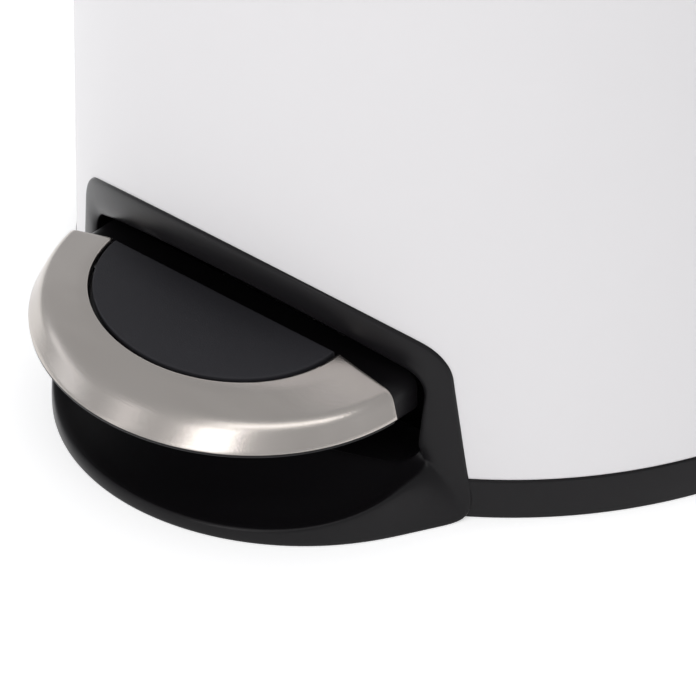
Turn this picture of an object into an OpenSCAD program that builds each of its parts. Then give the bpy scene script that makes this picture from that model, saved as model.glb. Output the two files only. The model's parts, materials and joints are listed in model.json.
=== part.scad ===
// Round pedal bin: painted steel body on a black plastic base, half-moon pedal at
// the front (-Y), hinge at the back (+Y). Origin on the floor, on the body's axis.

/* [Body] */
// Outer radius of the steel body
body_r = 146; // [144:0.5:148]
// Height of the whole bin with the lid shut
total_h = 640; // [600:5:700]
// Wall thickness of the steel body and lid
sheet_t = 0.6; // [0.5:0.1:1]
// How far the base ring stands proud of the body
ring_proud = 0.3; // [0.2:0.1:1]
// Height of the base ring
ring_h = 15.3; // [14:0.1:17]

/* [Pedal housing] */
// Height of the crown of the arched housing
arch_top = 87; // [85:0.2:89]
// Radius of the housing's arch, seen from the front
arch_r = 151.8; // [148:0.2:156]
// Half width of the housing
housing_half_w = 84; // [82:0.5:86]
// How far the housing stands proud of the body
housing_proud = 1.3; // [1:0.1:2]
// Width of the band between the arch and the recess
band_w = 12.8; // [11:0.1:15]
// Half width of the pedal recess
recess_half_w = 72.4; // [71:0.2:74]
// Height of the bottom edge of the recess
recess_sill = 18.7; // [17:0.1:20]
// Half width of the toe skirt under the pedal
skirt_half_w = 84.8; // [83:0.2:87]
// Distance from the axis to the front of the toe skirt
skirt_front = 188.5; // [186:0.5:192]

/* [Pedal] */
// Half width of the rubber insert
insert_half_w = 48.4; // [46:0.1:50]
// Depth of the rubber insert, front to back
insert_depth = 37.6; // [35:0.1:40]
// Slope of the pedal, down to the front
pedal_slope = 7.9; // [6:0.1:10]
// Half width of the pedal at its lower edge
pedal_half_w = 75.4; // [74:0.2:77]
// Distance from the axis to the front of the pedal
pedal_front = 200; // [197:0.5:203]

/* [Lid and mechanism] */
// How far the lid opens, in degrees
lid_open = 80; // [60:1:85]
// Length of the crank under the lid hinge
crank_r = 22; // [20:0.5:23]
// Distance of the lid hinge behind the axis
hinge_y = 156; // [155:0.5:158]
// Height of the lid's lower edge above the hinge
lid_above_hinge = 7; // [6:0.5:8]
// Distance of the pedal pivot in front of the axis
pivot_y = -45; // [-60:1:-40]
// Height of the pedal pivot
pivot_z = 30; // [28:1:33]
// Diameter of the push rod
rod_d = 5; // [4:0.5:6]

/* [Hidden] */
$fn = 96;

black = [0.09, 0.09, 0.1];
white = [0.9, 0.9, 0.91];
steel = [0.66, 0.65, 0.63];
grey = [0.3, 0.3, 0.32];
rubber = [0.13, 0.13, 0.15];
nylon = [0.85, 0.84, 0.8];

gap = 0.3;                 // plain clearance between neighbouring pieces
running = 0.06;            // radial running clearance of a pin in its bore
past = 1;                  // how far a cutter runs past the face it cuts
far = 400;                 // larger than any outline that a cutter crosses

// Body and base
shell_in = body_r - sheet_t;
ring_r = body_r + ring_proud;
lip_r = shell_in - gap;
shell_z0 = ring_h + 0.4;
floor_t = 3;
housing_r = body_r + housing_proud;
arch_z = arch_top - arch_r;
recess_r = arch_r - band_w;
tunnel_wall = 2.5;
tunnel_back = 104;
skirt_z = 17;
skirt_slope = 7;
skirt_mid = 103.5;
scoop_r = 49;
scoop_y = -178.5;
scoop_low = 5;

// Top of the bin
hinge_z = total_h - 36;
lid_z = hinge_z + lid_above_hinge;
rim_z = lid_z - 1;
rim_h = 14;
rim_in = body_r - 5;
shell_top = rim_z - 6;
lid_r = body_r + 1.5;
lid_skirt = 7;
shoulder = 5;
notch_half_w = 14;

// Crank, rod and lever: the crank swings evenly above and below the hinge
half_swing = lid_open / 2;
pin_r = 2.5;
rod_y = hinge_y - crank_r * cos(half_swing);
half_lift = crank_r * sin(half_swing);
crank_pin_z = hinge_z - half_lift;
arm_l = rod_y - pivot_y;
half_tilt = asin(half_lift / arm_l);
plate_h = 8.5;
plate_t = 2.5;
lever_half_w = 22.5;
foot_r = 6;
flange_back = 118;
tongue_half_w = 9;
tongue_end = rod_y + 2.2;
foot_z = pivot_z + plate_h + foot_r + gap + 0.1 - half_lift;
pivot_pin_r = 3;
bush_r = 5;

// Deck and bucket
deck_z = 86;
deck_t = 3;
stand_h = 3;
bucket_z = deck_z + deck_t + stand_h;
bucket_top = rim_z - 20;
bucket_r0 = 124;
bucket_r1 = 131;
bucket_t = 2;
bucket_back = 122;
post_spots = [[100, -60], [-100, -60], [72, 92], [-72, 92]];
post_r = 6;
screw_r = 1.8;
backing_t = 1.2;

// Pedal outlines: each one is a half ellipse on its own sloping plane
insert_y = -143.7;
insert_z = 63.2;
crease_half_w = 71.5;
crease_y = -135.8;
crease_z = 56.2;
crease_depth = 58.2;
crease_slope = 6.2;
hem_y = -134.9;
hem_z = 48.4;
hem_slope = 6;
hem_depth = (pedal_front + hem_y) / cos(hem_slope);
slab = 0.4;

function arc(x, y, r, from, to, steps) =
    [for (i = [0 : steps]) let (a = from + (to - from) * i / steps) [x + r * cos(a), y + r * sin(a)]];

function flipped(points) = [for (i = [len(points) - 1 : -1 : 0]) [-points[i].x, points[i].y]];

// Arch with rounded shoulders and feet, symmetric about X = 0, as a list of points
function arch_half(half_w, r, corner, sill, foot) =
    let (x = half_w - corner,
        z = arch_z + sqrt((r - corner) * (r - corner) - x * x),
        turn = atan2(z - arch_z, x))
    concat(arc(half_w - foot, sill + foot, foot, -90, 0, 6),
        arc(x, z, corner, 0, turn, 10),
        arc(0, arch_z, r, turn, 90, 16));

function arch_outline(half_w, r, corner, sill, foot) =
    let (right = arch_half(half_w, r, corner, sill, foot)) concat(right, flipped(right));

function recess_outline(grow) =
    arch_outline(recess_half_w + grow, recess_r + grow, 10 + grow, recess_sill - grow, 6);

// Half ellipse that bulges to the front
function half_ellipse(half_w, depth, steps) =
    [for (i = [0 : steps]) let (a = 180 + 180 * i / steps) [half_w * cos(a), depth * sin(a)]];

// Extrudes an X-Z outline along Y, from y0 to y1
module along_y(y0, y1) {
    translate([0, y1, 0])
        rotate([90, 0, 0])
            linear_extrude(y1 - y0)
                children();
}

// Extrudes a Y-Z outline along X, from x0 to x1
module along_x(x0, x1) {
    translate([x0, 0, 0])
        rotate([90, 0, 90])
            linear_extrude(x1 - x0)
                children();
}

module tube(r_out, r_in, z0, z1) {
    difference() {
        translate([0, 0, z0])
            cylinder(h = z1 - z0, r = r_out);
        translate([0, 0, z0 - past])
            cylinder(h = z1 - z0 + 2 * past, r = r_in);
    }
}

module x_pin(r, y, z, x0, x1) {
    translate([x0, y, z])
        rotate([0, 90, 0])
            cylinder(h = x1 - x0, r = r);
}

// Pan-head screw along +Z: the head's seat is at z = 0 and the shank goes down
module screw(shank_r, length, head_r, head_h) {
    translate([0, 0, -length])
        cylinder(h = length, r = shank_r);
    difference() {
        cylinder(h = head_h, r = head_r);
        for (turn = [0, 90])
            rotate([0, 0, turn])
                translate([-head_r * 0.6, -0.4, head_h * 0.4])
                    cube([head_r * 1.2, 0.8, head_h]);
    }
}

module ring_profile() {
    polygon(concat([[lip_r - 3, 0], [ring_r - 0.6, 0], [ring_r, 0.6]],
        arc(ring_r - 1.2, ring_h - 1.2, 1.2, 0, 90, 5),
        [[lip_r, ring_h], [lip_r, ring_h + 6], [lip_r - 2, ring_h + 6], [lip_r - 3, ring_h]]));
}

module toe_skirt() {
    difference() {
        linear_extrude(skirt_z)
            translate([0, -skirt_mid])
                polygon(half_ellipse(skirt_half_w, skirt_front - skirt_mid, 48));
        // the top slopes down to the front
        translate([-far / 2, -skirt_mid, skirt_z])
            rotate([skirt_slope, 0, 0])
                translate([0, -far, 0])
                    cube([far, far, far]);
        // scoop for the toe
        x_pin(scoop_r, scoop_y, scoop_low + scoop_r, -far / 2, far / 2);
        translate([0, 0, -past])
            cylinder(h = far, r = lip_r - 1);
    }
}

module base_moulding() {
    color(black)
        difference() {
            union() {
                rotate_extrude()
                    ring_profile();
                cylinder(h = floor_t, r = lip_r - 1);
                // arched housing on the front of the body
                intersection() {
                    tube(housing_r, body_r + 0.2, 0, arch_top + past);
                    along_y(-far / 2, -body_r * 0.7)
                        polygon(arch_outline(housing_half_w, arch_r, 15, 0, 0.5));
                }
                // tunnel behind the recess
                intersection() {
                    cylinder(h = arch_top, r = housing_r);
                    along_y(-far / 2, -tunnel_back)
                        polygon(recess_outline(tunnel_wall));
                }
                toe_skirt();
                for (spot = post_spots)
                    translate(spot)
                        cylinder(h = deck_z, r = post_r);
                translate([0, 110, 0])
                    cylinder(h = 15, r = post_r);
            }
            along_y(-far / 2, -tunnel_back + past)
                polygon(recess_outline(0));
            for (spot = post_spots)
                translate([spot.x, spot.y, deck_z - 14])
                    cylinder(h = 14 + past, r = screw_r);
            pad_places()
                translate([0, 0, -past])
                    cylinder(h = 1.5 + past, r = 10);
        }
}

module pad_places() {
    for (turn = [45 : 90 : 315])
        rotate([0, 0, turn])
            translate([128, 0, 0])
                children();
}

module non_slip_pads() {
    color(rubber)
        pad_places()
            cylinder(h = 1.5, r = 10);
}

module shell_notches() {
    // arched cut-out that the housing covers
    along_y(-far / 2, 0)
        polygon(recess_outline(tunnel_wall + 1));
    translate([-notch_half_w, 0, hinge_z - 22])
        cube([2 * notch_half_w, far, 22 + far]);
}

module body_shell() {
    color(white)
        difference() {
            tube(body_r, shell_in, shell_z0, shell_top);
            shell_notches();
            hinge_screw_places()
                translate([0, 0, -20])
                    cylinder(h = 40, r = screw_r + 0.2);
            guide_places()
                rotate([-90, 0, 0])
                    cylinder(h = far, r = 1.6);
        }
}

module top_rim() {
    color(black)
        difference() {
            rotate_extrude()
                polygon(concat([[rim_in, rim_z - rim_h], [shell_in - gap, rim_z - rim_h],
                    [shell_in - gap, shell_top + 0.1], [body_r + 1, shell_top + 0.1]],
                    arc(body_r - 0.4, rim_z - 1.4, 1.4, 0, 90, 5),
                    arc(rim_in + 1.4, rim_z - 1.4, 1.4, 90, 180, 5)));
            translate([-notch_half_w, 0, 0])
                cube([2 * notch_half_w, far, 2 * far]);
        }
}

module lid_bumpers() {
    color(rubber)
        for (turn = [-150, -90, -30])
            rotate([0, 0, turn])
                translate([body_r - 2.2, 0, rim_z])
                    cylinder(h = 0.8, r = 1.6);
}

module mechanism_deck() {
    color(grey)
        difference() {
            union() {
                translate([0, 0, deck_z])
                    cylinder(h = deck_t, r = shell_in - 1.2);
                tube(106, 102, deck_z, bucket_z);
                tube(shell_in - 1.2, shell_in - 4.2, deck_z, deck_z + 8);
            }
            for (spot = post_spots)
                translate([spot.x, spot.y, 0])
                    cylinder(h = far, r = screw_r + 0.3);
            translate([0, rod_y, 0])
                cylinder(h = far, r = rod_d / 2 + 0.1);
            // weight-saving holes that also drain a spill
            for (turn = [0 : 60 : 300])
                rotate([0, 0, turn])
                    translate([55, 0, 0])
                        cylinder(h = far, r = 16);
        }
}

module deck_screws() {
    color(steel)
        for (spot = post_spots)
            translate([spot.x, spot.y, deck_z + deck_t])
                screw(screw_r, 12, 3.6, 2.2);
}

module bucket_solid(shrink, z0, z1) {
    intersection() {
        translate([0, 0, z0])
            cylinder(h = z1 - z0, r1 = bucket_r0 - shrink, r2 = bucket_r1 - shrink);
        translate([-far, -2 * far + bucket_back - shrink, 0])
            cube([2 * far, 2 * far, 2 * far]);
    }
}

module inner_bucket() {
    color(grey)
        difference() {
            union() {
                bucket_solid(0, bucket_z, bucket_top);
                // lifting flange
                intersection() {
                    translate([0, 0, bucket_top - 2.5])
                        cylinder(h = 2.5, r = rim_in - 2);
                    translate([-far, -2 * far + bucket_back + 2, 0])
                        cube([2 * far, 2 * far, 2 * far]);
                }
            }
            bucket_solid(bucket_t, bucket_z + bucket_t, bucket_top + past);
        }
}

// Plan of the hinge housing: a curved block behind the body
module housing_plan(r_in) {
    intersection() {
        difference() {
            circle(r = hinge_y + 9);
            circle(r = r_in);
        }
        translate([-45, 0])
            square([90, far]);
    }
}

module hinge_housing() {
    color(black)
        difference() {
            union() {
                translate([0, 0, hinge_z - 54])
                    linear_extrude(44)
                        housing_plan(body_r + 0.2);
                translate([0, 0, hinge_z - 12])
                    linear_extrude(12)
                        housing_plan(body_r + 1.4);
                x_pin(9, hinge_y, hinge_z, -42, 42);
            }
            x_pin(8.6, hinge_y, hinge_z, -20.8, 20.8);
            translate([-20.8, body_r + 0.5, hinge_z - 0.5])
                cube([41.6, 40, 40]);
            translate([-11, 0, hinge_z - 27])
                cube([22, hinge_y, 40]);
            x_pin(pin_r, hinge_y, hinge_z, -40, 40);
            hinge_screw_places()
                translate([0, 0, -14])
                    cylinder(h = 18, r = screw_r);
            // sloping underside
            translate([-far / 2, body_r + 4, hinge_z - 54])
                rotate([-50, 0, 0])
                    translate([0, 0, -far])
                        cube([far, far, far]);
        }
}

// Four radial screws, seat on the inside of the backing plate, local +Z to the axis
module hinge_screw_places() {
    for (turn = [-12, 12], z = [hinge_z - 42, hinge_z - 28])
        rotate([0, 0, turn])
            translate([0, shell_in - backing_t - 0.2, z])
                rotate([90, 0, 0])
                    children();
}

module hinge_backing_plate() {
    color(steel)
        difference() {
            intersection() {
                tube(shell_in - 0.1, shell_in - 0.1 - backing_t, hinge_z - 50, hinge_z - 24);
                translate([-40, 0, 0])
                    cube([80, far, 2 * far]);
            }
            hinge_screw_places()
                translate([0, 0, -4])
                    cylinder(h = 8, r = screw_r + 0.2);
        }
}

module hinge_screws() {
    color(steel)
        hinge_screw_places()
            screw(screw_r, 12, 3.4, 2);
}

module hinge_pin() {
    color(steel)
        x_pin(pin_r, hinge_y, hinge_z, -40, 40);
}

module pivot_bracket() {
    ear_x = lever_half_w + 2.2;
    color(steel)
        difference() {
            union() {
                translate([-40, pivot_y - 14, floor_t])
                    cube([80, 28, plate_t]);
                for (side = [-1, 1])
                    translate([side * (ear_x + plate_t / 2) - plate_t / 2, pivot_y - 10, floor_t])
                        cube([plate_t, 20, pivot_z + 8 - floor_t]);
            }
            x_pin(pivot_pin_r, pivot_y, pivot_z, -40, 40);
            bracket_screw_places()
                translate([0, 0, -5])
                    cylinder(h = 10, r = screw_r);
        }
}

module bracket_screw_places() {
    for (x = [-34, 34], y = [-9, 9])
        translate([x, pivot_y + y, floor_t + plate_t])
            children();
}

module bracket_screws() {
    color(steel)
        bracket_screw_places()
            screw(screw_r, plate_t, 3.4, 2);
}

module pedal_pivot_pin() {
    color(steel)
        x_pin(pivot_pin_r, pivot_y, pivot_z, -29.5, 29.5);
}

module pivot_circlips() {
    color(steel)
        for (side = [-1, 1])
            translate([side * 28 - 0.5, pivot_y, pivot_z])
                rotate([0, 90, 0])
                    tube(5.5, pivot_pin_r, 0, 1);
}

module lever_buffer() {
    color(rubber)
        translate([0, 110, 15])
            cylinder(h = plate_under(110) - gap - 15, r = 8);
}

// Height of the underside of the lever's plate at rest, at a given y behind the pivot
function plate_under(y) =
    pivot_z + (plate_h - plate_t) / cos(half_tilt) - (y - pivot_y) * tan(half_tilt) - 0.6;

module guide_places() {
    for (z = [250, 450])
        translate([0, rod_y, z])
            children();
}

module rod_guides() {
    color(nylon)
        intersection() {
            guide_places()
                difference() {
                    translate([-9, -7, -8])
                        cube([18, 20, 16]);
                    translate([0, 0, -far / 2])
                        cylinder(h = far, r = rod_d / 2 + 0.1);
                    translate([0, 3.2, 0])
                        rotate([-90, 0, 0])
                            cylinder(h = 20, r = 1.6);
                }
            translate([0, 0, 100])
                cylinder(h = 500, r = shell_in - 0.1);
        }
}

module guide_rivets() {
    color(white)
        guide_places() {
            translate([0, 3.4, 0])
                rotate([-90, 0, 0])
                    cylinder(h = body_r - rod_y - 3.4 + 0.1, r = 1.6);
            translate([0, body_r - rod_y + 0.1, 0])
                rotate([-90, 0, 0])
                    cylinder(h = 1.2, r1 = 3.4, r2 = 2.2);
        }
}

// One thin half-ellipse slab of the pedal, on its own sloping plane
module pedal_slab(half_w, depth, y, z, slope, steps) {
    translate([0, y, z])
        rotate([slope, 0, 0])
            translate([0, 0, -slab])
                linear_extrude(slab)
                    polygon(half_ellipse(half_w, depth, steps));
}

// Outer skin of the pedal, set in by a given amount
module pedal_skin(inset) {
    hull() {
        pedal_slab(insert_half_w + 1.5 - inset, insert_depth + 1.5 - inset,
            insert_y, insert_z - inset, pedal_slope, 32);
        pedal_slab(crease_half_w - inset, crease_depth - inset,
            crease_y, crease_z - inset, crease_slope, 40);
        pedal_slab(pedal_half_w - inset, hem_depth - inset, hem_y, hem_z, hem_slope, 40);
    }
}

module insert_well(grow) {
    translate([0, insert_y, insert_z])
        rotate([pedal_slope, 0, 0])
            translate([0, 0, -3])
                linear_extrude(10)
                    union() {
                        polygon(half_ellipse(insert_half_w + grow, insert_depth + grow, 48));
                        translate([-insert_half_w - grow, -0.01])
                            square([2 * (insert_half_w + grow), 20]);
                    }
}

module pedal_cover() {
    color(steel)
        difference() {
            pedal_skin(0);
            translate([0, 0.3, -0.5])
                pedal_skin(sheet_t);
            insert_well(1.2);
            translate([-far / 2, hem_y - 0.05, 0])
                cube([far, far, far]);
        }
}

module pedal_carrier() {
    color(black)
        difference() {
            union() {
                difference() {
                    translate([0, 0.3, -0.6])
                        pedal_skin(sheet_t + 0.1);
                    insert_well(0);
                }
                // lip below the steel
                translate([0, 0, -slab - 0.1])
                    pedal_slab(pedal_half_w, hem_depth, hem_y, hem_z, hem_slope, 40);
                // back block inside the recess
                along_y(hem_y, -125)
                    polygon(concat(arc(62.5, 48, 6.5, 0, 90, 8), arc(-62.5, 48, 6.5, 90, 180, 8),
                        arc(-66, 42, 3, 180, 270, 4), arc(66, 42, 3, 270, 360, 4)));
            }
            // hollow underside
            translate([0, insert_y, insert_z])
                rotate([pedal_slope, 0, 0])
                    translate([0, 6, -26])
                        linear_extrude(16)
                            polygon(half_ellipse(64, 46, 40));
            translate([-lever_half_w - 1, -138, 32])
                cube([2 * lever_half_w + 2, 15, 22]);
            pedal_screw_places()
                cylinder(h = 5, r = screw_r);
        }
}

// Two screws up through the lever's plate, local +Z into the carrier
module pedal_screw_places() {
    for (x = [-14, 14])
        translate([x, insert_y, insert_z])
            rotate([pedal_slope, 0, 0])
                translate([0, -14, -10])
                    children();
}

module pedal_insert() {
    color(rubber)
        intersection() {
            insert_well(0);
            translate([0, insert_y, insert_z])
                rotate([pedal_slope, 0, 0])
                    translate([0, 0, -3])
                        linear_extrude(3.2)
                            polygon(half_ellipse(insert_half_w - 0.1, insert_depth - 0.1, 48));
        }
}

// Height of the lever's top line at rest, behind the pivot
function lever_top(y) = pivot_z + plate_h / cos(half_tilt) - (y - pivot_y) * tan(half_tilt);

// Side view of the lever's top line, from the tongue to the front of the pedal plate
function lever_line() =
    let (front = insert_y - 30 * cos(pedal_slope), under = insert_z - 10.2 / cos(pedal_slope))
    [[flange_back, lever_top(flange_back)], [pivot_y, lever_top(pivot_y)],
        [-123, 49], [insert_y + 4, under + 4 * tan(pedal_slope)],
        [front, under - (insert_y - front) * tan(pedal_slope)]];

module pedal_lever() {
    line = lever_line();
    lower = [for (i = [len(line) - 1 : -1 : 0]) [line[i].x, line[i].y - plate_t]];
    color(steel)
        difference() {
            union() {
                along_x(-lever_half_w, lever_half_w)
                    polygon(concat(line, lower));
                for (x = [-lever_half_w, lever_half_w - plate_t])
                    along_x(x, x + plate_t)
                        polygon([[flange_back - 4, line[0].y - 7], line[0], line[1], line[2],
                            [-123, 42.5], [-60, 26], [-52, 22], [-38, 22], [-30, 25]]);
                // tongue under the push rod's foot
                along_x(-tongue_half_w, tongue_half_w)
                    polygon([[tongue_end, lever_top(tongue_end)], [60, lever_top(60)],
                        [60, lever_top(60) - plate_t], [tongue_end, lever_top(tongue_end) - plate_t]]);
            }
            x_pin(bush_r, pivot_y, pivot_z, -lever_half_w - past, lever_half_w + past);
            pedal_screw_places()
                translate([0, 0, -8])
                    cylinder(h = 16, r = screw_r + 0.2);
        }
}

module pedal_screws() {
    color(steel)
        pedal_screw_places()
            translate([0, 0, -plate_t - 0.4])
                mirror([0, 0, 1])
                    screw(screw_r, plate_t + 4, 3.4, 2);
}

module pivot_bushes() {
    color(nylon)
        for (side = [0, 1])
            mirror([side, 0, 0])
                difference() {
                    union() {
                        x_pin(bush_r - 0.02, pivot_y, pivot_z, lever_half_w - plate_t - 0.5,
                            lever_half_w);
                        x_pin(bush_r + 2, pivot_y, pivot_z, lever_half_w + 0.1, lever_half_w + 1.8);
                        x_pin(bush_r - 0.02, pivot_y, pivot_z, lever_half_w - past,
                            lever_half_w + past);
                    }
                    x_pin(pivot_pin_r + running, pivot_y, pivot_z, 0, far);
                }
}

module push_rod() {
    color(steel)
        translate([0, rod_y, foot_z + 2])
            cylinder(h = crank_pin_z - 8 - foot_z - 2, r = rod_d / 2);
}

module rod_foot() {
    color(nylon)
        translate([0, rod_y, foot_z])
            difference() {
                union() {
                    sphere(r = foot_r);
                    cylinder(h = 14, r = foot_r);
                }
                translate([0, 0, 2])
                    cylinder(h = 14, r = rod_d / 2);
            }
}

// Slotted head: the crank pin slides front to back in it as the lid turns
module rod_head() {
    slot_r = pin_r + 0.85;
    reach = crank_r * (1 - cos(half_swing));
    color(nylon)
        difference() {
            union() {
                translate([-4.5, rod_y - reach - slot_r - 2.2, crank_pin_z - 6])
                    cube([9, reach + 2 * slot_r + 4.4, 12]);
                translate([0, rod_y, crank_pin_z - 22])
                    cylinder(h = 18, r = 4.5);
            }
            x_pin(slot_r, rod_y, crank_pin_z, -10, 10);
            x_pin(slot_r, rod_y - reach, crank_pin_z, -10, 10);
            translate([-10, rod_y - reach, crank_pin_z - slot_r])
                cube([20, reach, 2 * slot_r]);
            translate([0, rod_y, crank_pin_z - 23])
                cylinder(h = 15, r = rod_d / 2);
        }
}

// Dome of the lid, set in by a given amount
module lid_dome(inset) {
    rise = total_h - lid_z - lid_skirt;
    dome_r = (lid_r * lid_r + rise * rise) / (2 * rise);
    top = total_h - inset;
    edge_x = lid_r - inset - shoulder;
    edge_z = top - dome_r + inset + sqrt((dome_r - inset) * (dome_r - inset) - edge_x * edge_x);
    lean = asin(edge_x / dome_r);
    rotate_extrude()
        polygon(concat([[0, lid_z]], [[lid_r - inset, lid_z]],
            arc(edge_x, edge_z - shoulder, shoulder, 0, 90 - lean, 8),
            arc(0, top - dome_r, dome_r, 90 - lean, 90, 24)));
}

module lid_shell() {
    color(white)
        difference() {
            lid_dome(0);
            translate([0, 0, -past])
                lid_dome(sheet_t);
            translate([0, 0, lid_z - past])
                cylinder(h = past + 0.01, r = lid_r - sheet_t);
            translate([-notch_half_w, 0, 0])
                cube([2 * notch_half_w, far, lid_z + lid_skirt]);
        }
}

module lid_liner() {
    r = lid_r - sheet_t - gap;
    z = lid_z + 0.2;
    color(black)
        difference() {
            union() {
                rotate_extrude()
                    polygon([[0, lid_z + 6], [r - 13, lid_z + 6], [r - 7, z], [r, z], [r, z + 2.6],
                        [r - 5, z + 2.6], [r - 10, lid_z + 8], [0, lid_z + 8]]);
                // bosses that take the hinge arm's screws
                for (x = [-7, 7], y = [106, 126])
                    translate([x, y, lid_z + 6])
                        cylinder(h = 4, r = 4);
            }
            lid_screw_places()
                cylinder(h = 6.2, r = screw_r);
            translate([-notch_half_w, 128, 0])
                cube([2 * notch_half_w, 40, lid_z + 6.2]);
        }
}

module lid_screw_places() {
    for (x = [-7, 7], y = [106, 126])
        translate([x, y, lid_z + 3.2])
            children();
}

module lid_screws() {
    color(steel)
        lid_screw_places()
            mirror([0, 0, 1])
                screw(screw_r, 6, 3, 1.8);
}

module lid_hinge_arm() {
    color(black)
        difference() {
            union() {
                x_pin(8, hinge_y, hinge_z, -20.3, 20.3);
                translate([-12, hinge_y - 13, hinge_z])
                    cube([24, 13, lid_above_hinge + 5.8]);
                translate([-12, 98, lid_z + 3.2])
                    cube([24, hinge_y - 13 - 98 + 1, 2.6]);
                for (x = [-9, 5.2])
                    translate([x, 0, 0]) {
                        x_pin(5, rod_y, crank_pin_z, 0, 3.8);
                        translate([0, hinge_y, hinge_z])
                            rotate([half_swing, 0, 0])
                                translate([0, -crank_r, -5])
                                    cube([3.8, crank_r, 10]);
                    }
            }
            x_pin(pin_r + running, hinge_y, hinge_z, -30, 30);
            x_pin(pin_r, rod_y, crank_pin_z, -30, 30);
            lid_screw_places()
                translate([0, 0, -past])
                    cylinder(h = 9, r = screw_r + 0.2);
        }
}

module crank_pin() {
    color(steel)
        x_pin(pin_r, rod_y, crank_pin_z, -9.5, 9.5);
}

base_moulding();
non_slip_pads();
body_shell();
top_rim();
lid_bumpers();
mechanism_deck();
deck_screws();
inner_bucket();
hinge_housing();
hinge_backing_plate();
hinge_screws();
hinge_pin();
pivot_bracket();
bracket_screws();
pedal_pivot_pin();
pivot_circlips();
lever_buffer();
rod_guides();
guide_rivets();
pedal_cover();
pedal_carrier();
pedal_insert();
pedal_lever();
pedal_screws();
pivot_bushes();
push_rod();
rod_foot();
rod_head();
lid_shell();
lid_liner();
lid_hinge_arm();
lid_screws();
crank_pin();
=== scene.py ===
# %% [markdown]
# # Pedal bin
# A round kitchen bin: a painted steel body on a black plastic base, with a steel
# half-moon pedal at the front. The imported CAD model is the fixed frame. The pieces
# that are seen most get a finer mesh here, and every piece gets its finish.

# %% Load the frame
import json
import math

import bmesh
import bpy
from mathutils import Matrix, Vector


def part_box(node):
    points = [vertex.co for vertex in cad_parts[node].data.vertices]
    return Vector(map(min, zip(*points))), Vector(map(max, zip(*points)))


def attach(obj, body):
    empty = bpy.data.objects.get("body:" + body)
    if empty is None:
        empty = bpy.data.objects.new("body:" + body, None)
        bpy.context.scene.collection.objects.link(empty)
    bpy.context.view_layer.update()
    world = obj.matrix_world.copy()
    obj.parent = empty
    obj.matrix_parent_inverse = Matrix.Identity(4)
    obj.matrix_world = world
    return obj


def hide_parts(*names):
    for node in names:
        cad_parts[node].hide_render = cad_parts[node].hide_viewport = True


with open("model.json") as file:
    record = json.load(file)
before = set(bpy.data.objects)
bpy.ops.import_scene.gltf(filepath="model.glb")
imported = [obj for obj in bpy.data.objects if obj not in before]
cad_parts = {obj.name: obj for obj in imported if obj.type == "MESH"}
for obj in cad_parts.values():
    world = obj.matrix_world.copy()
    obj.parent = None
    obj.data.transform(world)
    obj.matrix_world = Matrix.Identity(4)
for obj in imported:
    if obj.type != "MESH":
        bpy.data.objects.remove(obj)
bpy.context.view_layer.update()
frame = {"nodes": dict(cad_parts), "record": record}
scene = bpy.context.scene
MM = 0.001

# %% [markdown]
# ## Camera
# A long lens from far off, right of the front and above, so upright lines stay upright.
# It looks at a point near the pedal, and only the lower front of the bin is in the frame.

# %% Camera
turn, height = math.radians(41.40), math.radians(35.30)
distance = 4.52
seen_width = 0.2359322  # metres across the frame at the aim
away = Vector((math.sin(turn) * math.cos(height), -math.cos(turn) * math.cos(height),
    math.sin(height)))
right = Vector((math.cos(turn), math.sin(turn), 0))
upward = away.cross(right)
aim = -0.05422 * right - 0.02819 * upward

camera = bpy.data.objects.new("camera", bpy.data.cameras.new("camera"))
scene.collection.objects.link(camera)
camera.data.sensor_width = 36
camera.data.lens = camera.data.sensor_width * distance / seen_width
camera.data.clip_start, camera.data.clip_end = 0.5, 60
camera.location = aim + distance * away
camera.rotation_euler = (-away).to_track_quat("-Z", "Y").to_euler()
scene.camera = camera
print("lens", round(camera.data.lens), "mm")

# %% [markdown]
# ## Light and floor
# Bright, even light from large soft panels, as in a product studio. The floor is a pale
# matt sheet. The plain display transform keeps white paint white.

# %% Light and floor
lit_point = Vector((0, -0.05, 0.1))

def soft_panel(name, place, size, power, tint):
    lamp = bpy.data.lights.new(name, "AREA")
    lamp.shape, lamp.size, lamp.size_y = "RECTANGLE", size[0], size[1]
    lamp.energy, lamp.color = power, tint
    panel = bpy.data.objects.new(name, lamp)
    scene.collection.objects.link(panel)
    panel.location = place
    panel.rotation_euler = (lit_point - Vector(place)).to_track_quat("-Z", "Y").to_euler()

soft_panel("front_softbox", (1.04, -1.48, 2.40), (2.8, 0.45), 10, (1, 0.99, 0.98))
soft_panel("key_panel", (0.30, -3.0, 1.5), (1.0, 1.6), 15, (1, 0.985, 0.985))
soft_panel("tall_softbox", (-1.6, -2.7, 1.0), (0.45, 2.0), 2.5, (1, 0.99, 1))
soft_panel("low_softbox", (-2.6, -1.3, 0.75), (1.4, 0.5), 2, (0.94, 0.96, 1))

world = bpy.data.worlds.new("studio")
scene.world = world
world.use_nodes = True
sky, link = world.node_tree.nodes, world.node_tree.links.new
direction = sky.new("ShaderNodeTexCoord")
split = sky.new("ShaderNodeSeparateXYZ")
band = sky.new("ShaderNodeValToRGB")
band.color_ramp.interpolation = "EASE"
sky_steps = [(0.0, 0.62), (0.35, 0.66), (0.60, 0.62), (0.80, 0.62), (1.0, 0.56)]
while len(band.color_ramp.elements) < len(sky_steps):
    band.color_ramp.elements.new(0.5)
for element, (rise, level) in zip(band.color_ramp.elements, sky_steps):
    element.position = rise
    element.color = (level * 0.97, level * 0.98, level, 1)
link(direction.outputs["Generated"], split.inputs["Vector"])
link(split.outputs["Z"], band.inputs["Fac"])
link(band.outputs["Color"], sky["Background"].inputs["Color"])
sky["Background"].inputs["Strength"].default_value = 0.90
scene.view_settings.view_transform = "Standard"

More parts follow.
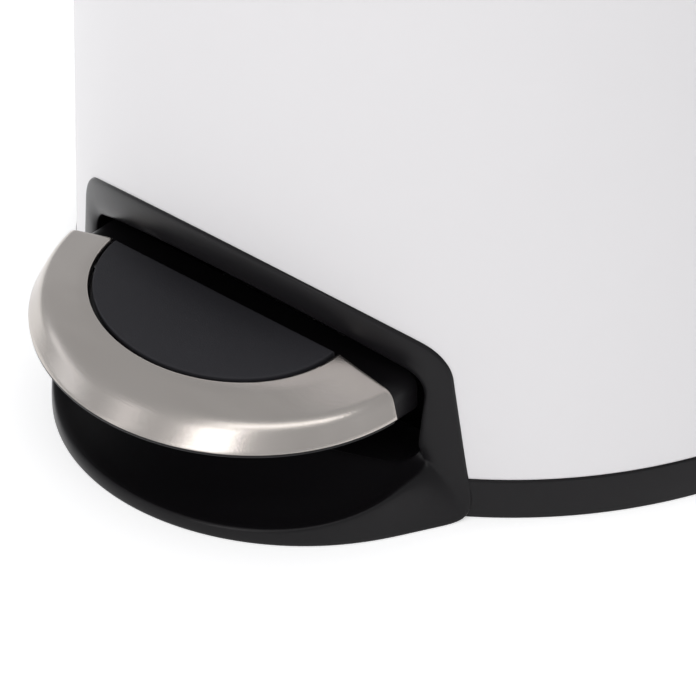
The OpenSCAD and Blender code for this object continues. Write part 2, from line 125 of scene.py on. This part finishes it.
floor_bm = bmesh.new()
bmesh.ops.create_grid(floor_bm, x_segments=1, y_segments=1, size=12)
floor_mesh = bpy.data.meshes.new("floor")
floor_bm.to_mesh(floor_mesh)
floor_bm.free()
floor = bpy.data.objects.new("floor", floor_mesh)
scene.collection.objects.link(floor)

# %% [markdown]
# ## Finishes
# Real surfaces are never one flat value. Shared effects carry most of it: fine grain,
# which makes small bumps, slow patches, which move the colour and the gloss a little,
# and brushing on the steel. Two node groups hold them, each built once and placed in the
# finishes that need it.

# %% Shared effect: grain and patches
def effect(name, inputs, outputs):
    group = bpy.data.node_groups.new(name, "ShaderNodeTree")
    kind = "NodeSocketFloat"
    for label, value in inputs:
        socket = group.interface.new_socket(name=label, in_out="INPUT", socket_type=kind)
        socket.default_value = value
    for label in outputs:
        group.interface.new_socket(name=label, in_out="OUTPUT", socket_type=kind)
    add = group.nodes.new
    return group, add("NodeGroupInput"), add("NodeGroupOutput"), add("ShaderNodeTexCoord")

grain_group, enter, leave, place = effect("grain",
    [("Scale", 800.0), ("Detail", 2.0)], ["Height", "Patches"])
fine = grain_group.nodes.new("ShaderNodeTexNoise")
slow = grain_group.nodes.new("ShaderNodeTexNoise")
slow.inputs["Scale"].default_value = 14
slow.inputs["Detail"].default_value = 3
for noise in (fine, slow):
    grain_group.links.new(place.outputs["Object"], noise.inputs["Vector"])
grain_group.links.new(enter.outputs["Scale"], fine.inputs["Scale"])
grain_group.links.new(enter.outputs["Detail"], fine.inputs["Detail"])
grain_group.links.new(fine.outputs["Fac"], leave.inputs["Height"])
grain_group.links.new(slow.outputs["Fac"], leave.inputs["Patches"])
print("effect:", grain_group.name)

# %% Shared effect: brushed lines
brush_group, enter, leave, place = effect("brushed", [("Lines", 2600.0)], ["Height", "Streaks"])
stretch = brush_group.nodes.new("ShaderNodeMapping")
stretch.inputs["Scale"].default_value = (0.02, 1, 1)
lines = brush_group.nodes.new("ShaderNodeTexNoise")
lines.inputs["Detail"].default_value = 4
streaks = brush_group.nodes.new("ShaderNodeTexNoise")
streaks.inputs["Scale"].default_value = 60
brush_group.links.new(place.outputs["Object"], stretch.inputs["Vector"])
for noise in (lines, streaks):
    brush_group.links.new(stretch.outputs["Vector"], noise.inputs["Vector"])
brush_group.links.new(enter.outputs["Lines"], lines.inputs["Scale"])
brush_group.links.new(lines.outputs["Fac"], leave.inputs["Height"])
brush_group.links.new(streaks.outputs["Fac"], leave.inputs["Streaks"])
print("effect:", brush_group.name)

# %% [markdown]
# A finish is a Principled shader in the material itself. The grain group gives the height
# of a Bump node and moves the colour and roughness between two near values. On brushed
# steel the brushed group takes over the height and the colour.

# %% Finish maker
def finish(name, dark, light, rough, grain, bump, metal=0.0, coat=0.0, specular=0.5,
        brushed=False, **constants):
    material = bpy.data.materials.new(name)
    material.use_nodes = True
    nodes, link = material.node_tree.nodes, material.node_tree.links.new
    shader = nodes["Principled BSDF"]
    shader.inputs["Metallic"].default_value = metal
    shader.inputs["Coat Weight"].default_value = coat
    shader.inputs["Specular IOR Level"].default_value = specular
    for socket, value in constants.items():
        shader.inputs[socket.replace("_", " ")].default_value = value
    texture = nodes.new("ShaderNodeGroup")
    texture.node_tree = grain_group
    texture.inputs["Scale"].default_value = grain
    colour = nodes.new("ShaderNodeMix")
    colour.data_type = "RGBA"
    colour.inputs["A"].default_value = (*dark, 1)
    colour.inputs["B"].default_value = (*light, 1)
    gloss = nodes.new("ShaderNodeMapRange")
    gloss.inputs["From Min"].default_value, gloss.inputs["From Max"].default_value = 0.15, 0.85
    gloss.inputs["To Min"].default_value, gloss.inputs["To Max"].default_value = rough
    relief = nodes.new("ShaderNodeBump")
    relief.inputs["Strength"].default_value = bump
    relief.inputs["Distance"].default_value = 0.0004
    link(texture.outputs["Patches"], colour.inputs["Factor"])
    link(texture.outputs["Patches"], gloss.inputs["Value"])
    link(colour.outputs["Result"], shader.inputs["Base Color"])
    link(gloss.outputs["Result"], shader.inputs["Roughness"])
    link(texture.outputs["Height"], relief.inputs["Height"])
    if brushed:
        lay = nodes.new("ShaderNodeGroup")
        lay.node_tree = brush_group
        link(lay.outputs["Height"], relief.inputs["Height"])
        link(lay.outputs["Streaks"], colour.inputs["Factor"])
    link(relief.outputs["Normal"], shader.inputs["Normal"])
    return material

# %% Finishes
looks = {
    "painted_steel": dict(dark=(0.732, 0.718, 0.727), light=(0.751, 0.737, 0.747),
        rough=(0.32, 0.38), grain=900, bump=0.03, coat=0.2, specular=0.35, Coat_Roughness=0.22),
    "black_plastic": dict(dark=(0.0065, 0.006, 0.0068), light=(0.009, 0.0082, 0.0094),
        rough=(0.26, 0.34), grain=2600, bump=0.12, specular=0.19),
    "grey_plastic": dict(dark=(0.06, 0.06, 0.064), light=(0.08, 0.08, 0.085),
        rough=(0.45, 0.55), grain=2200, bump=0.2, specular=0.4),
    "brushed_steel": dict(dark=(0.46, 0.425, 0.395), light=(0.60, 0.56, 0.525),
        rough=(0.19, 0.27), grain=2400, bump=0.08, metal=1.0, brushed=True),
    "plated_steel": dict(dark=(0.50, 0.50, 0.50), light=(0.60, 0.61, 0.62),
        rough=(0.24, 0.38), grain=1800, bump=0.1, metal=1.0),
    "rubber": dict(dark=(0.018, 0.018, 0.02), light=(0.03, 0.03, 0.032),
        rough=(0.75, 0.85), grain=1800, bump=0.3, specular=0.3),
    "rubber_insert": dict(dark=(0.018, 0.0175, 0.021), light=(0.024, 0.0235, 0.028),
        rough=(0.6, 0.7), grain=2400, bump=0.25, specular=0.3),
    "nylon": dict(dark=(0.70, 0.68, 0.61), light=(0.78, 0.76, 0.70),
        rough=(0.4, 0.5), grain=1600, bump=0.1, Subsurface_Weight=0.1),
    "floor": dict(dark=(0.93, 0.93, 0.93), light=(0.95, 0.95, 0.95), rough=(0.85, 0.95),
        grain=40, bump=0.02, specular=0.0, Emission_Color=(1, 1, 1, 1), Emission_Strength=0.52),
}
finishes = {name: finish(name, **look) for name, look in looks.items()}
floor_mesh.materials.append(finishes["floor"])
slot_of = {part["node"]: part["material_slot"] for part in frame["record"]["subparts"]}
for name, node in frame["nodes"].items():
    for socket in node.material_slots:
        socket.material = finishes[slot_of[name]]
print("finishes:", ", ".join(finishes))

# %% [markdown]
# ## Helpers
# Most pieces start as a line of points. `lathe` spins a line around the bin's axis,
# `loft` drags a row of points through one position after another, and `piece` turns the
# result into an object that rides on a CAD body.

# %% Helper: piece
def piece(name, bm, body, slot, *nodes, sharp=38):
    mesh = bpy.data.meshes.new(name)
    bm.to_mesh(mesh)
    bm.free()
    mesh.materials.append(finishes[slot])
    mesh.shade_smooth()
    mesh.set_sharp_from_angle(angle=math.radians(sharp))
    made = bpy.data.objects.new(name, mesh)
    scene.collection.objects.link(made)
    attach(made, body)
    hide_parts(*nodes)
    print(name, len(mesh.polygons), "faces")
    return made

def add_wall(made, thickness):
    wall = made.modifiers.new("wall", "SOLIDIFY")
    wall.thickness, wall.offset = thickness, -1
    wall.use_even_offset = True

def add_bevel(made, width, segments=2, angle=50):
    edge = made.modifiers.new("edge", "BEVEL")
    edge.width, edge.segments = width, segments
    edge.limit_method, edge.angle_limit = "ANGLE", math.radians(angle)

# %% Helper: rounded line
def arc(centre, radius, start, end, steps):
    turns = [math.radians(start + (end - start) * i / steps) for i in range(steps + 1)]
    return [(centre[0] + radius * math.cos(a), centre[1] + radius * math.sin(a)) for a in turns]

# %% Helper: lathe
def lathe(profile, steps=240, closed=False):
    bm = bmesh.new()
    points = [bm.verts.new((r * MM, 0, z * MM)) for r, z in profile]
    lines = [bm.edges.new(pair) for pair in zip(points, points[1:])]
    if closed:
        lines.append(bm.edges.new((points[-1], points[0])))
    bmesh.ops.spin(bm, geom=points + lines, cent=(0, 0, 0), axis=(0, 0, 1), angle=2 * math.pi,
        steps=steps, use_merge=True)
    bmesh.ops.remove_doubles(bm, verts=bm.verts, dist=1e-6)
    bmesh.ops.recalc_face_normals(bm, faces=bm.faces)
    return bm

# %% Helper: loft
def loft(rows, ring):
    bm = bmesh.new()
    row = [bm.verts.new(Vector(p) * MM) for p in rows[0]]
    lines = [bm.edges.new(pair) for pair in zip(row, row[1:] + (row[:1] if ring else []))]
    for places in rows[1:]:
        made = bmesh.ops.extrude_edge_only(bm, edges=lines)["geom"]
        fresh = {v for v in made if isinstance(v, bmesh.types.BMVert)}
        lines = [e for e in made if isinstance(e, bmesh.types.BMEdge) and set(e.verts) <= fresh]
        row = [next(e.other_vert(v) for e in v.link_edges if e.other_vert(v) in fresh) for v in row]
        for vert, place in zip(row, places):
            vert.co = Vector(place) * MM
    bmesh.ops.remove_doubles(bm, verts=bm.verts, dist=1e-6)
    bmesh.ops.recalc_face_normals(bm, faces=bm.faces)
    return bm

def cut_away(bm, inside):
    gone = [f for f in bm.faces if inside(f.calc_center_median() / MM)]
    bmesh.ops.delete(bm, geom=gone, context="FACES")

def mix(a, b, t):
    return tuple(p + (q - p) * t for p, q in zip(a, b))

# %% [markdown]
# ## Front moulding
# The base is one black moulding: a ring under the body, an arched panel around the
# pedal's recess, and a toe skirt with a scoop in front. The panel's face runs on into
# the skirt's outer wall, and the edge of the recess runs on into the skirt's rim. So the
# whole front is one loft of closed rows around the recess: each station around the recess
# has a section, and near the lower corners a side section melts into a skirt section.

# %% Sizes of the base
body_r = 146.0
ring_r, ring_h = 146.3, 15.3
arch_z = -64.8
recess_r, recess_half_w, sill = 139.0, 72.4, 18.7
panel_arch_r, panel_half_w = 151.8, 81.2
skirt_half_w, skirt_mid, skirt_depth = 84.8, -103.5, 85.0
meet_turn, meet_ring = (85.0, -120.6), (93.5, -112.6)
tunnel_back = -104.0
low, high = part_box("base_moulding")
print("base box", [round(v / MM, 1) for v in (*low, *high)])

# %% Outline of the recess and of the panel
bottoms, corners = 12, 7  # stations along the sill and around a lower corner

def arch_side(half_w, radius, corner, sill_z, foot, flare):
    # half_w is at the shoulder, and the sides lean out by flare down to the foot
    x = half_w - corner
    low_w = half_w + flare
    z = arch_z + math.sqrt((radius - corner) ** 2 - x * x)
    lean = math.degrees(math.atan2(z - arch_z, x))
    bottom = [((low_w - foot) * i / bottoms, sill_z) for i in range(bottoms)]
    corner_low = arc((low_w - foot, sill_z + foot), foot, -90, 0, corners - 1)
    side = [mix((low_w, sill_z + foot), (half_w, z), i / 6) for i in range(1, 6)]
    corner_high = arc((x, z), corner, 0, lean, 7)
    crown = arc((0, arch_z), radius, lean, 90, 12)[1:]
    return bottom + corner_low + side + corner_high + crown

recess_side = arch_side(recess_half_w, recess_r, 11, sill, 8, -2)
panel_side = arch_side(panel_half_w, panel_arch_r, 18, sill, 6, 3)
print("stations on one side:", len(recess_side))

# %% Sections
def on_cylinder(x, radius, z):
    return (x, -math.sqrt(radius * radius - x * x), z)

def side_section(inner, outer, sink=0.0):
    # the share of the way from the recess to the panel's edge, and the radius there
    spread = [(0, 142), (0, 143), (0, 143.8), (0, 144.4), (0, 144.9), (0.0, 145.4),
        (0.05, 146.1), (0.22, 146.9), (0.55, 147.3), (0.93, 147.3), (1, 146.9), (1, 145.8),
        (0.95, 144.2), (0.2, 144.2)]
    section = []
    for share, radius in spread:
        x, z = mix(inner, outer, share)
        section.append(on_cylinder(x, radius - sink * share, z))
    x, z = mix(inner, outer, 0.2)
    return [(inner[0], tunnel_back, inner[1])] + section + [(x, tunnel_back, z)]

corner_turn, leave_turn, join_turn = (math.radians(angle) for angle in (58, 62, 77))
rim_turn, rim_low, rim_rise, rim_high = math.radians(65), 5.2, 14, 19

def on_ellipse(turn):
    return (skirt_half_w * math.sin(turn), skirt_mid - skirt_depth * math.cos(turn))

def skirt_outline(turn, grow, z):
    # past leave_turn the line leaves the ellipse and runs on into the ring in a soft curve
    if turn <= leave_turn:
        x, y = on_ellipse(turn)
    else:
        share = (turn - leave_turn) / (join_turn - leave_turn)
        first = mix(on_ellipse(leave_turn), meet_turn, share)
        x, y = mix(first, mix(meet_turn, meet_ring, share), share)
    return (grow * x, skirt_mid + grow * (y - skirt_mid), z)

def skirt_section(inner, turn):
    rim_z = min(rim_low + rim_rise * (turn / rim_turn) ** 4, rim_high)
    edge = on_cylinder(inner[0], 145.4, inner[1] - 0.4)
    rim = skirt_outline(turn, 0.975, rim_z)
    scoop = []
    for share in (0.12, 0.4, 0.75, 0.97):
        x, y, _ = mix(edge, rim, share)
        fall = 1 - (1 - share) ** 2.3
        dip = 1.6 * math.sin(math.pi * share) * (1 - (turn / join_turn) ** 2)
        scoop.append((x, y, edge[2] + (rim_z - edge[2]) * fall - dip))
    sill_line = [(inner[0], tunnel_back, inner[1]), on_cylinder(inner[0], 143.5, inner[1]), edge]
    wall = [(0.99, rim_z + 0.1), (0.998, rim_z - 1.4), (1, rim_z * 0.5), (1, 1.4), (0.998, 0.1),
        (0.985, 0)]
    outside = [skirt_outline(turn, grow, z) for grow, z in wall]
    under = [(inner[0] * 0.98, -125, 0), (inner[0], -112, 0), (inner[0], tunnel_back, 2)]
    return sill_line + scoop + outside + under

# %% Front moulding
stations = []
for i, (inner, outer) in enumerate(zip(recess_side, panel_side)):
    if i < bottoms:
        stations.append(skirt_section(inner, corner_turn * i / bottoms))
    elif i < bottoms + corners:
        down = (i - bottoms) / (corners - 1)
        blend = 1 - down
        blend = blend * blend * (3 - 2 * blend)
        fall = max(0, 1 - (1 - down) / 0.5)
        foot = (panel_half_w + 3 + 7 * (1 - fall) ** 2, (sill + 6) * fall)
        skirt = skirt_section(inner, corner_turn + (join_turn - corner_turn) * down)
        side = side_section(inner, foot, 1.15 * (1 - fall))
        stations.append([mix(a, b, blend) for a, b in zip(side, skirt)])
    else:
        stations.append(side_section(inner, outer))
around = stations + [[(-x, y, z) for x, y, z in s] for s in reversed(stations[1:-1])]
rows = [list(row) for row in zip(*around)]
shape = loft(rows + rows[:1], ring=True)
front = piece("front_moulding", shape, "bin", "black_plastic", "base_moulding", sharp=60)
smooth = front.modifiers.new("smooth", "SUBSURF")
smooth.levels = smooth.render_levels = 2

# %% [markdown]
# ## Base ring
# The rest of the base is round, so a lathe makes it: the ring that the body stands in and
# the floor. Short tapered posts stand on the floor.

# %% Base ring
lip_r = body_r - 0.9
outer = arc((ring_r - 0.7, 0.7), 0.7, -90, 0, 3) + arc((ring_r - 1.0, ring_h - 1.0), 1.0, 0, 90, 5)
ring_profile = ([(0, 0.8), (139, 0.8), (139.4, 0), (ring_r - 0.6, 0)] + outer
    + [(lip_r, ring_h), (lip_r, ring_h + 3), (lip_r - 2, ring_h + 3), (lip_r - 3, ring_h),
    (lip_r - 3, 3), (0, 3)])
ring = lathe(ring_profile)
posts = [(100, -60, 86), (-100, -60, 86), (72, 92, 86), (-72, 92, 86), (0, 110, 15)]
for x, y, top in posts:
    bmesh.ops.create_cone(ring, cap_ends=True, segments=32, radius1=6 * MM, radius2=5.6 * MM,
        depth=(top - 2) * MM, matrix=Matrix.Translation(Vector((x, y, (top + 2) / 2)) * MM))
piece("base_ring", ring, "bin", "black_plastic", "base_moulding")

# %% [markdown]
# ## Body
# A sheet steel tube with a cut-out behind the black panel and a notch at the hinge. A
# lathe makes the tube, the faces in both are taken away, and a Solidify modifier gives the
# sheet its thickness.

# %% Body
cut_margin, notch_half_w, notch_z, shell_top, sheet = 6, 14, 582, 604.0, 0.6

def behind_panel(p):
    if p.y > 0 or abs(p.x) > recess_half_w + cut_margin:
        return False
    return p.z < arch_z + math.sqrt((recess_r + cut_margin) ** 2 - p.x ** 2)

def at_hinge(p):
    return p.y > 0 and abs(p.x) < notch_half_w

heights = [15.6, 16.4] + [19 + 3 * i for i in range(25)] + [110, 250, 430, 570, 582, 600, shell_top]
tube = lathe([(body_r, z) for z in heights], steps=288)
cut_away(tube, lambda p: behind_panel(p) or (at_hinge(p) and p.z > notch_z))
body = piece("body", tube, "bin", "painted_steel", "body_shell")
add_wall(body, sheet * MM)

# %% [markdown]
# ## Lid
# A shallow dome with a rounded shoulder and a short skirt, pressed from the same sheet.

# %% Lid
lid_z, total_h, lid_r, shoulder = 611.0, 640.0, 147.5, 5.0
rise = total_h - lid_z - 7
dome_r = (lid_r ** 2 + rise ** 2) / (2 * rise)
edge_x = lid_r - shoulder
edge_z = total_h - dome_r + math.sqrt(dome_r ** 2 - edge_x ** 2) - shoulder
lean = 90 - math.degrees(math.asin(edge_x / dome_r))
dome = ([(lid_r, lid_z), (lid_r, lid_z + 1), (lid_r, edge_z - 1)]
    + arc((edge_x, edge_z), shoulder, 0, lean, 8)
    + arc((0, total_h - dome_r), dome_r, lean, 90, 28)[1:])
cap = lathe(dome, steps=288)
cut_away(cap, lambda p: at_hinge(p) and p.z < edge_z - 1)
lid = piece("lid", cap, "lid", "painted_steel", "lid_shell")
add_wall(lid, sheet * MM)

# %% [markdown]
# ## Pedal
# The pedal is a steel half-moon folded over a plastic carrier, with a rubber insert let
# into it. Its lines are half ellipses: around the insert, at the bend and at the hem, so
# the steel is one loft from the insert to the hem, with a soft bend.

# %% Pedal lines
def half_moon(half_w, depth, y, z, slope, turn):
    lean = math.radians(slope)
    reach = depth * math.cos(turn)
    return (half_w * math.sin(turn), y - reach * math.cos(lean), z - reach * math.sin(lean))

def moon_line(half_w, depth, y, z, slope, back):
    widest = math.acos(min(1, (y - back) / (depth * math.cos(math.radians(slope)))))
    return [half_moon(half_w, depth, y, z, slope, widest * (i / 60 - 1)) for i in range(121)]

insert_y, insert_z, insert_slope = -143.7, 63.2, 7.9
hem_y, hem_z, hem_slope = -134.9, 48.4, 6
hole = moon_line(49.6, 38.8, insert_y, insert_z, insert_slope, back=insert_y)
bend = moon_line(71.5, 58.2, -135.8, 56.2, 6.2, back=-141)
hem = moon_line(75.4, 65.4, hem_y, hem_z, hem_slope, back=-142.5)
print("pedal front at", round(min(p[1] for p in hem), 1), "mm")

# %% Pedal steel
def lowered(point, drop):
    return (point[0], point[1], point[2] - drop)

def pedal_rows():
    rows = [[lowered(p, 2.4) for p in hole], [lowered(p, 0.9) for p in hole],
        [lowered(mix(a, b, 0.02), 0.3) for a, b in zip(hole, bend)]]
    rows += [[mix(a, b, share) for a, b in zip(hole, bend)] for share in (0.06, 0.3, 0.6)]
    for share in [i / 10 for i in range(11)]:
        row = []
        for a, b, c in zip(hole, bend, hem):
            start, end = mix(b, a, min(0.3, 3.2 / math.dist(a, b))), mix(b, c, 0.34)
            row.append(mix(mix(start, b, share), mix(b, end, share), share))
        rows.append(row)
    return rows + [[mix(b, c, share) for b, c in zip(bend, hem)] for share in (0.6, 0.85, 1)]

steel = loft(pedal_rows(), ring=False)
if sum(f.normal.z for f in steel.faces) < 0:
    bmesh.ops.reverse_faces(steel, faces=steel.faces)
cover = piece("pedal_steel", steel, "pedal", "brushed_steel", "pedal_cover", sharp=60)
add_wall(cover, 0.8 * MM)
add_bevel(cover, 0.25 * MM)

# %% [markdown]
# Under the steel is the carrier: a moulded rim that shows as a thin black lip below the
# hem, a plate under the insert, and a block with rounded corners that reaches back into
# the recess.

# %% Pedal carrier
def thick_slab(bm, outline, matrix, thickness, bevel):
    face = bm.faces.new([bm.verts.new(Vector((x, y, 0)) * MM) for x, y in outline])
    grown = bmesh.ops.extrude_face_region(bm, geom=[face])["geom"]
    top = [v for v in grown if isinstance(v, bmesh.types.BMVert)]
    bmesh.ops.translate(bm, verts=top, vec=(0, 0, thickness * MM))
    part = set(top) | set(face.verts)
    bmesh.ops.recalc_face_normals(bm, faces=[f for f in bm.faces if set(f.verts) <= part])
    flat = {f for f in bm.faces if set(f.verts) <= part and len(f.verts) == len(outline)}
    rim = [e for e in bm.edges if set(e.verts) <= part and any(f in flat for f in e.link_faces)]
    made = bmesh.ops.bevel(bm, geom=rim, offset=bevel * MM, affect="EDGES", segments=3,
        profile=0.5, material=-1)
    part = {v for v in part if v.is_valid} | set(made["verts"])
    bmesh.ops.transform(bm, matrix=matrix, verts=list(part))

def tilted(y, z, slope):
    lean = Matrix.Rotation(math.radians(slope), 4, "X")
    return Matrix.Translation(Vector((0, y, z)) * MM) @ lean

def half_ellipse(half_w, depth, count=120):
    turns = [math.pi * i / count for i in range(count + 1)]
    return [(half_w * math.cos(a), -depth * math.sin(a)) for a in turns]

lip_z, lip_back, plate_z, block_back = 47.1, -8.5, 57.0, -125
carrier = bmesh.new()
lip = [(x, y) for x, y in half_ellipse(75.2, 65.2) if y < lip_back]
thick_slab(carrier, lip, tilted(hem_y, lip_z, hem_slope), 1.25, 0.35)
thick_slab(carrier, half_ellipse(49.3, 38.5), tilted(insert_y, plate_z, insert_slope), 3.0, 0.4)
block = (arc((62.5, 48), 6.5, 0, 90, 8) + arc((-62.5, 48), 6.5, 90, 180, 8)
    + arc((-66, 42), 3, 180, 270, 5) + arc((66, 42), 3, 270, 360, 5))
upright = Matrix.Translation((0, block_back * MM, 0)) @ Matrix.Rotation(math.radians(90), 4, "X")
thick_slab(carrier, block, upright, 17.5, 1.2)
piece("pedal_black_carrier", carrier, "pedal", "black_plastic", "pedal_carrier", sharp=50)

# %% Rubber insert
pad = bmesh.new()
seat = tilted(insert_y, insert_z, insert_slope) @ Matrix.Translation((0, 0, -3 * MM))
thick_slab(pad, half_ellipse(48.3, 37.5), seat, 3.2, 0.7)
piece("pedal_rubber", pad, "pedal", "rubber_insert", "pedal_insert")
